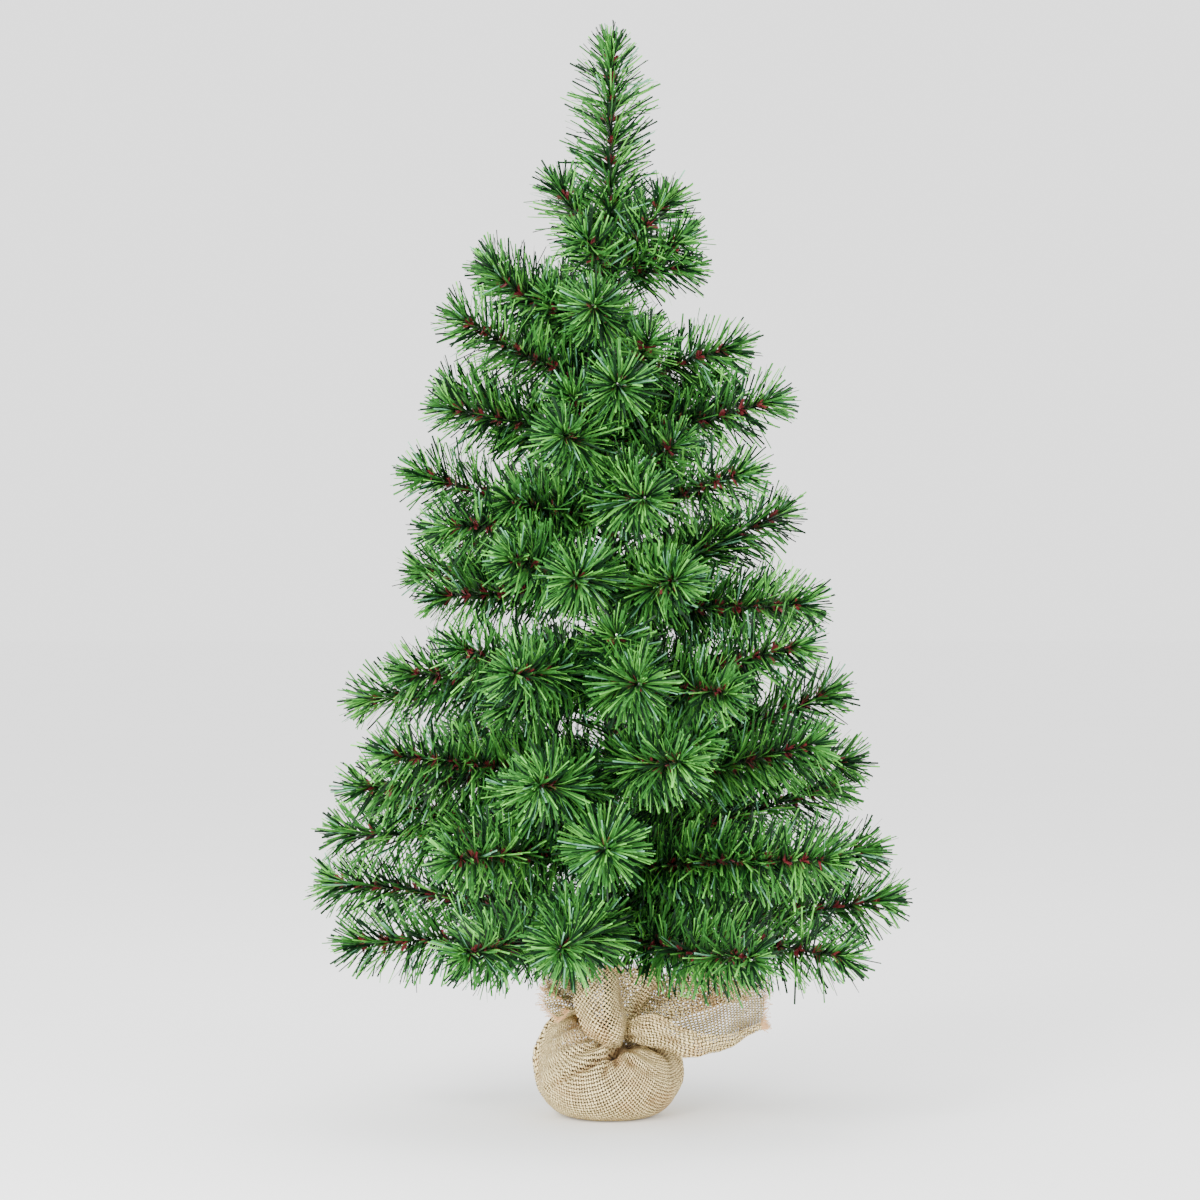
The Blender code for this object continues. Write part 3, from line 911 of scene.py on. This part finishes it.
def wrapped_ball(across, along):
    """The ball of cloth: a high shoulder at the left, gathers to the neck, and a knot in front that draws creases."""
    bearing = (np.arange(across + 1) / across - 0.5) * math.tau
    share = np.arange(along + 1) / along
    bearing, share = np.meshgrid(bearing, share)
    outline = smooth_path(BALL_PROFILE, share)
    radius, height = outline[..., 0], outline[..., 1]
    held = np.clip((share - 0.84) / 0.16, 0.0, 1.0)
    rise = 1.0 + 0.46 * np.maximum(0.0, np.cos(bearing + math.radians(88))) ** 1.4
    rise += 0.16 * np.maximum(0.0, np.cos(bearing - math.radians(175)))
    rise -= 0.10 * np.maximum(0.0, np.cos(bearing - math.radians(60)))
    height = np.where(height > 0.030, 0.030 + (height - 0.030) * (1.0 + (rise - 1.0) * (1.0 - held)), height)
    radius = radius * (1.0 + 0.030 * np.cos(bearing + math.radians(90)))

    depth = np.zeros_like(share)
    for crease, half_width, size, low in GATHERS:
        turn = np.degrees((bearing - math.radians(crease) + math.pi) % math.tau - math.pi)
        reach = np.clip((share - low) / (0.95 - low), 0.0, 1.0) ** 0.8
        depth += size * reach * np.exp(-((turn / half_width) ** 2))
        depth -= 0.35 * size * reach * np.exp(-(((turn - 1.7 * half_width) / half_width) ** 2))
    depth *= 1.0 - 0.8 * np.clip((share - 0.92) / 0.08, 0.0, 1.0)
    # none in front, where the creases are, and full from a little past the sides
    behind = np.clip((0.30 - np.cos(bearing)) / 0.55, 0.0, 1.0)
    pleated = np.clip((share - SMALL_GATHER_START) / 0.30, 0.0, 1.0)
    pleated *= 1.0 - 0.75 * np.clip((share - 0.93) / 0.07, 0.0, 1.0)
    wave = np.cos(SMALL_GATHERS * bearing + 0.9 * np.sin(3.0 * bearing))
    depth -= SMALL_GATHER_RISE * behind * pleated * 0.5 * (1.0 - wave)

    x, y, z = radius * np.sin(bearing), -radius * np.cos(bearing), height
    front = np.clip((-y - 0.006) / 0.014, 0.0, 1.0) * (share > 0.3)
    for points, size, half_width in CREASES:
        gap, where = near_line(x, z, points)
        fade = np.clip(1.12 - where, 0.0, 1.0) ** 0.7
        depth += front * fade * size * np.exp(-((gap / half_width) ** 2))
        depth -= front * fade * 0.34 * size * np.exp(-(((gap - 2.1 * half_width) / (1.2 * half_width)) ** 2))
    drawn = front * np.exp(-(((x - KNOT[0]) ** 2 + (z - KNOT[1]) ** 2) / 0.011**2))
    depth += 0.0060 * drawn

    upward = np.clip((share - 0.5) / 0.28, 0.0, 1.0)
    grid = np.stack([x, y, z], axis=2)
    lumps = cloth_noise(grid, 55.0, 0.0016) + cloth_noise(grid, 120.0, 0.0007)
    depth -= lumps * np.clip((share - 0.30) / 0.1, 0.0, 1.0) * (1.0 - held)
    grid[..., 0] -= np.sin(bearing) * depth * (1.0 - 0.45 * upward)
    grid[..., 1] += np.cos(bearing) * depth * (1.0 - 0.45 * upward)
    grid[..., 2] = np.maximum(0.0006, z - depth * 0.8 * upward)
    steps = np.linalg.norm(np.diff(smooth_path(BALL_PROFILE, share[:, 0]), axis=0), axis=1)
    run = np.concatenate([[0.0], np.cumsum(steps)])
    # the flat cloth spreads out from the middle of the underside in every direction
    places = run[:, None, None] * np.stack([np.sin(bearing), -np.cos(bearing)], axis=2)
    # the third: painted shade for the creases, gathers and pleats, from how deep each point lies in them
    return grid, places, np.clip(depth / 0.0065 + 0.35 * behind * pleated * np.maximum(0.0, wave), 0.0, 1.0)


class TREE_OT_burlap_ball(bpy.types.Operator):
    """Wrap the weight in burlap, creased towards the gathered neck and the knot in front"""

    bl_idname = "tabletop_tree.burlap_ball"
    bl_label = "Burlap ball"

    def execute(self, context):
        grid, places, crease_shades = wrapped_ball(330, 128)
        cloth_piece("burlap_ball", grid, places, crease_shades, math.radians(28), ("burlap_wrap",), closed=True)
        return {"FINISHED"}


def lobe_grid(rows, across, along, pleats, pleat_depth, rumple):
    """A lobe through rows of points, each row running from the neck to the rim, pleated at the neck."""
    a = np.arange(across + 1) / across
    t = np.arange(along + 1) / along
    lines = np.stack([smooth_path(row, t) for row in rows], axis=1)
    grid = np.stack([smooth_path(line, a) for line in lines])
    sideways = np.gradient(grid, axis=1)
    forward = np.gradient(grid, axis=0)
    normal = np.cross(sideways, forward)
    normal /= np.maximum(np.linalg.norm(normal, axis=2, keepdims=True), 1e-9)
    wobble = 0.55 * np.sin(2.1 * math.tau * a + 0.7) + 0.3 * np.sin(5.3 * a)
    wave = np.cos(pleats * math.tau * a + 1.3 + wobble)[None, :] * pleat_depth
    wave = wave * (np.minimum(1.0, t * 7.0) * (1.0 - 0.70 * t))[:, None]
    soft = cloth_noise(grid, 38.0, rumple) + cloth_noise(grid, 95.0, 0.35 * rumple)
    soft *= np.minimum(1.0, t * 3.0)[:, None]
    # painted shade for the pleat and rumple hollows, from how deep each point lies
    crease_shades = np.clip(-(wave + soft) / 0.004, 0.0, 1.0)
    return grid + normal * (wave + soft)[..., None], crease_shades


def neck_point(bearing, height=NECK_HEIGHT, radius=NECK_RADIUS):
    angle = math.radians(bearing)
    return (radius * math.sin(angle), -radius * math.cos(angle), height)


# Each lobe: its rows from the neck to the rim, pleats, pleat depth, rumple and the weave's turn
LOBES = {
    "burlap_lobe_right": (
        (
            (neck_point(10, 0.068), (0.018, -0.033, 0.084), (0.036, -0.047, 0.090), (0.062, -0.049, 0.078),
             (0.092, -0.040, 0.072), (0.124, -0.028, 0.080)),
            (neck_point(22, 0.066), (0.022, -0.034, 0.070), (0.042, -0.048, 0.071), (0.066, -0.048, 0.062),
             (0.092, -0.040, 0.063), (0.124, -0.026, 0.076)),
            (neck_point(45, 0.064), (0.025, -0.026, 0.064), (0.046, -0.036, 0.060), (0.067, -0.036, 0.0545),
             (0.092, -0.030, 0.060), (0.125, -0.018, 0.075)),
            (neck_point(70, 0.064), (0.027, -0.012, 0.064), (0.050, -0.014, 0.060), (0.069, -0.012, 0.0570),
             (0.094, -0.006, 0.063), (0.127, 0.004, 0.080)),
            (neck_point(95, 0.066), (0.025, 0.008, 0.074), (0.046, 0.016, 0.076), (0.070, 0.022, 0.080),
             (0.098, 0.024, 0.086), (0.129, 0.020, 0.096)),
            (neck_point(125, 0.068), (0.020, 0.018, 0.092), (0.040, 0.030, 0.108), (0.066, 0.036, 0.116),
             (0.096, 0.034, 0.118), (0.127, 0.026, 0.114)),
        ),
        6, 0.0018, 0.0042, 0.12,
    ),
    "burlap_throat": (
        (
            (neck_point(5, 0.068), (0.004, -0.020, 0.082), (0.002, -0.023, 0.100), (0.002, -0.023, 0.122)),
            (neck_point(45, 0.066), (0.019, -0.014, 0.084), (0.026, -0.018, 0.104), (0.028, -0.018, 0.124)),
            (neck_point(80, 0.066), (0.022, 0.002, 0.086), (0.036, 0.002, 0.108), (0.042, 0.002, 0.124)),
            (neck_point(130, 0.068), (0.018, 0.020, 0.088), (0.032, 0.030, 0.108), (0.040, 0.034, 0.122)),
        ),
        4, 0.0016, 0.0030, 0.5,
    ),
    "burlap_tongue": (
        (
            ((0.003, -0.031, 0.0610), (-0.010, -0.043, 0.0670), (-0.024, -0.046, 0.080), (-0.030, -0.043, 0.098),
             (-0.028, -0.036, 0.123)),
            ((0.004, -0.033, 0.0605), (-0.004, -0.049, 0.0680), (-0.014, -0.057, 0.082), (-0.018, -0.055, 0.100),
             (-0.017, -0.046, 0.125)),
            ((0.006, -0.033, 0.0605), (0.002, -0.048, 0.0690), (-0.002, -0.057, 0.084), (-0.004, -0.056, 0.102),
             (-0.005, -0.046, 0.126)),
            ((0.008, -0.031, 0.0610), (0.008, -0.041, 0.0710), (0.009, -0.045, 0.087), (0.008, -0.044, 0.104),
             (0.006, -0.038, 0.124)),
            ((0.009, -0.024, 0.0630), (0.010, -0.027, 0.0740), (0.011, -0.027, 0.088), (0.009, -0.028, 0.104),
             (0.006, -0.026, 0.122)),
        ),
        3, 0.0011, 0.0026, 0.75,
    ),
    "burlap_flap_left": (
        (
            (neck_point(-130, 0.068), (-0.024, 0.004, 0.094), (-0.044, 0.010, 0.119)),
            (neck_point(-105, 0.066), (-0.030, -0.006, 0.090), (-0.054, -0.004, 0.110)),
            (neck_point(-80, 0.065), (-0.030, -0.016, 0.087), (-0.054, -0.019, 0.093)),
            (neck_point(-60, 0.066), (-0.024, -0.024, 0.087), (-0.042, -0.032, 0.085)),
            (neck_point(-40, 0.068), (-0.020, -0.030, 0.090), (-0.034, -0.040, 0.093)),
        ),
        4, 0.0015, 0.0034, 0.3,
    ),
    "burlap_lobe_back": (
        (
            (neck_point(118, 0.068), (0.028, 0.020, 0.092), (0.046, 0.034, 0.122)),
            (neck_point(145, 0.066), (0.022, 0.034, 0.088), (0.036, 0.052, 0.120)),
            (neck_point(180, 0.066), (0.000, 0.040, 0.087), (0.002, 0.060, 0.114)),
            (neck_point(215, 0.066), (-0.022, 0.032, 0.089), (-0.034, 0.050, 0.116)),
            (neck_point(240, 0.068), (-0.028, 0.014, 0.095), (-0.046, 0.028, 0.116)),
        ),
        6, 0.0020, 0.0044, 0.2,
    ),
    "burlap_lobe_outer": (
        (
            (neck_point(88, 0.067), (0.030, 0.010, 0.070), (0.056, 0.026, 0.076), (0.084, 0.034, 0.084),
             (0.114, 0.030, 0.092)),
            (neck_point(100, 0.068), (0.028, 0.018, 0.080), (0.054, 0.036, 0.092), (0.082, 0.044, 0.100),
             (0.112, 0.038, 0.106)),
            (neck_point(125, 0.069), (0.022, 0.026, 0.094), (0.046, 0.044, 0.112), (0.074, 0.050, 0.120),
             (0.104, 0.044, 0.121)),
        ),
        3, 0.0018, 0.0042, 0.9,
    ),
    "burlap_flap_inner": (
        (
            (neck_point(-140, 0.068), (-0.020, 0.010, 0.096), (-0.036, 0.020, 0.121)),
            (neck_point(-115, 0.067), (-0.025, 0.004, 0.094), (-0.046, 0.008, 0.118)),
            (neck_point(-85, 0.067), (-0.026, -0.006, 0.093), (-0.050, -0.006, 0.103)),
            (neck_point(-60, 0.068), (-0.021, -0.016, 0.093), (-0.040, -0.020, 0.098)),
        ),
        3, 0.0014, 0.0030, 0.9,
    ),
}


class TREE_OT_burlap_collar(bpy.types.Operator):
    """Open the cloth above the neck into its lobes, with frayed edges"""

    bl_idname = "tabletop_tree.burlap_collar"
    bl_label = "Burlap collar"

    def execute(self, context):
        for seed, (name, (rows, pleats, depth, rumple, turn)) in enumerate(LOBES.items()):
            across = 26 * len(rows)
            grid, crease_shades = lobe_grid(rows, across, 84, pleats, depth, rumple)
            cloth_piece(name, grid, flat_places(grid), crease_shades, turn)
            rim = [
                (Vector(grid[-1, a]), Vector(grid[-1, a] - grid[-5, a]).normalized()) for a in range(across + 1)
            ]
            fringe(f"{name}_fringe", rim, 900 + seed)
        return {"FINISHED"}


class TREE_OT_neck_tie(bpy.types.Operator):
    """Draw the twine round the neck"""

    bl_idname = "tabletop_tree.neck_tie"
    bl_label = "Neck tie"

    def execute(self, context):
        shape = bmesh.new()
        radius = NECK_RADIUS + 0.0016
        for level in (0.0, 0.0019):
            steps = 64
            made = bmesh.ops.create_circle(shape, segments=8, radius=0.0010)["verts"]
            bmesh.ops.rotate(shape, cent=(0, 0, 0), matrix=Matrix.Rotation(math.pi / 2, 3, "X"), verts=made)
            bmesh.ops.translate(shape, vec=(radius, 0.0, NECK_HEIGHT + level), verts=made)
            edges = list({edge for corner in made for edge in corner.link_edges})
            bmesh.ops.spin(
                shape, geom=made + edges, cent=(0, 0, 0), axis=(0, 0, 1), dvec=(0, 0, 0),
                angle=math.tau, steps=steps, use_merge=True,
            )
        bmesh.ops.remove_doubles(shape, verts=shape.verts, dist=0.00002)
        bmesh.ops.recalc_face_normals(shape, faces=shape.faces)
        to_piece("neck_twine", shape, ("jute",), BASE, ("neck_tie",), smooth_angle=math.radians(60))
        return {"FINISHED"}


class TREE_OT_weight(bpy.types.Operator):
    """Give the cast weight inside the cloth its finish: dark cement that, seen through the burlap's holes, also
    stands in as painted shade inside the wrap
    """

    bl_idname = "tabletop_tree.weight"
    bl_label = "Cast weight"

    def execute(self, context):
        node = frame["nodes"]["cast_weight"]
        node.data.materials.clear()
        node.data.materials.append(finish_of("cement"))
        return {"FINISHED"}


# Stage


def soft_light(name, place, target, size, power):
    light = bpy.data.lights.new(name, "AREA")
    light.shape = "RECTANGLE"
    light.size = size[0]
    light.size_y = size[1]
    light.energy = power
    lamp = bpy.data.objects.new(name, light)
    lamp.location = place
    lamp.rotation_euler = (Vector(target) - Vector(place)).to_track_quat("-Z", "Y").to_euler()
    bpy.context.scene.collection.objects.link(lamp)


class TREE_OT_studio(bpy.types.Operator):
    """Set the pale floor, the soft lights and the camera"""

    bl_idname = "tabletop_tree.studio"
    bl_label = "Studio"

    def execute(self, context):
        shape = bmesh.new()
        bmesh.ops.create_grid(shape, x_segments=1, y_segments=1, size=30.0)
        mesh = bpy.data.meshes.new("floor")
        shape.to_mesh(mesh)
        shape.free()
        paper = Nodes("white paper", roughness=0.9)
        paper.colour(paper.mix(paper.noise(3.0), (0.95, 0.95, 0.95), (0.98, 0.98, 0.98)))
        mesh.materials.append(paper.material)
        floor = bpy.data.objects.new("floor", mesh)
        context.scene.collection.objects.link(floor)

        world = bpy.data.worlds.new("studio")
        world.use_nodes = True
        background = world.node_tree.nodes["Background"]
        background.inputs["Color"].default_value = (1.0, 1.0, 1.0, 1.0)
        background.inputs["Strength"].default_value = 2.1
        context.scene.world = world

        soft_light("key", (-1.3, -2.0, 1.9), (0, 0, 0.45), (1.1, 1.1), 78)
        soft_light("fill", (1.7, -1.6, 0.9), (0, 0, 0.40), (1.2, 1.2), 24)
        soft_light("low", (-0.75, -1.5, 0.35), (0, 0, 0.06), (0.45, 0.35), 27)
        soft_light("top", (0.2, 0.6, 2.4), (0, 0, 0.3), (1.6, 1.6), 22)

        lens = bpy.data.cameras.new("camera")
        lens.sensor_width = 36.0
        distance = 2.6
        frame_width = 1.0
        lens.lens = 36.0 * distance / frame_width
        camera = bpy.data.objects.new("camera", lens)
        target = Vector((-0.009, 0.0, 0.429))
        camera.location = (-0.009, -distance, 0.429)
        camera.rotation_euler = (target - camera.location).to_track_quat("-Z", "Y").to_euler()
        context.scene.collection.objects.link(camera)
        context.scene.camera = camera
        return {"FINISHED"}


class TREE_PT_panel(bpy.types.Panel):
    bl_label = "Tabletop tree"
    bl_idname = "TREE_PT_panel"
    bl_space_type = "VIEW_3D"
    bl_region_type = "UI"
    bl_category = "Tree"

    def draw(self, context):
        column = self.layout.column()
        for name in TreeSettings.__annotations__:
            column.prop(settings(), name)
        for operator in OPERATORS:
            column.operator(operator.bl_idname)


OPERATORS = (
    TREE_OT_studio,
    TREE_OT_weight,
    TREE_OT_burlap_ball,
    TREE_OT_burlap_collar,
    TREE_OT_neck_tie,
    TREE_OT_trunk,
    TREE_OT_leader,
    TREE_OT_branches,
    TREE_OT_sprigs,
)


def register():
    for cls in (TreeSettings, *OPERATORS, TREE_PT_panel):
        bpy.utils.register_class(cls)
    bpy.types.Scene.tabletop_tree = PointerProperty(type=TreeSettings)


def unregister():
    del bpy.types.Scene.tabletop_tree
    for cls in (TREE_PT_panel, *reversed(OPERATORS), TreeSettings):
        bpy.utils.unregister_class(cls)


def main():
    register()
    for operator in OPERATORS:
        getattr(bpy.ops.tabletop_tree, operator.bl_idname.split(".")[1])()


if __name__ == "__main__":
    main()
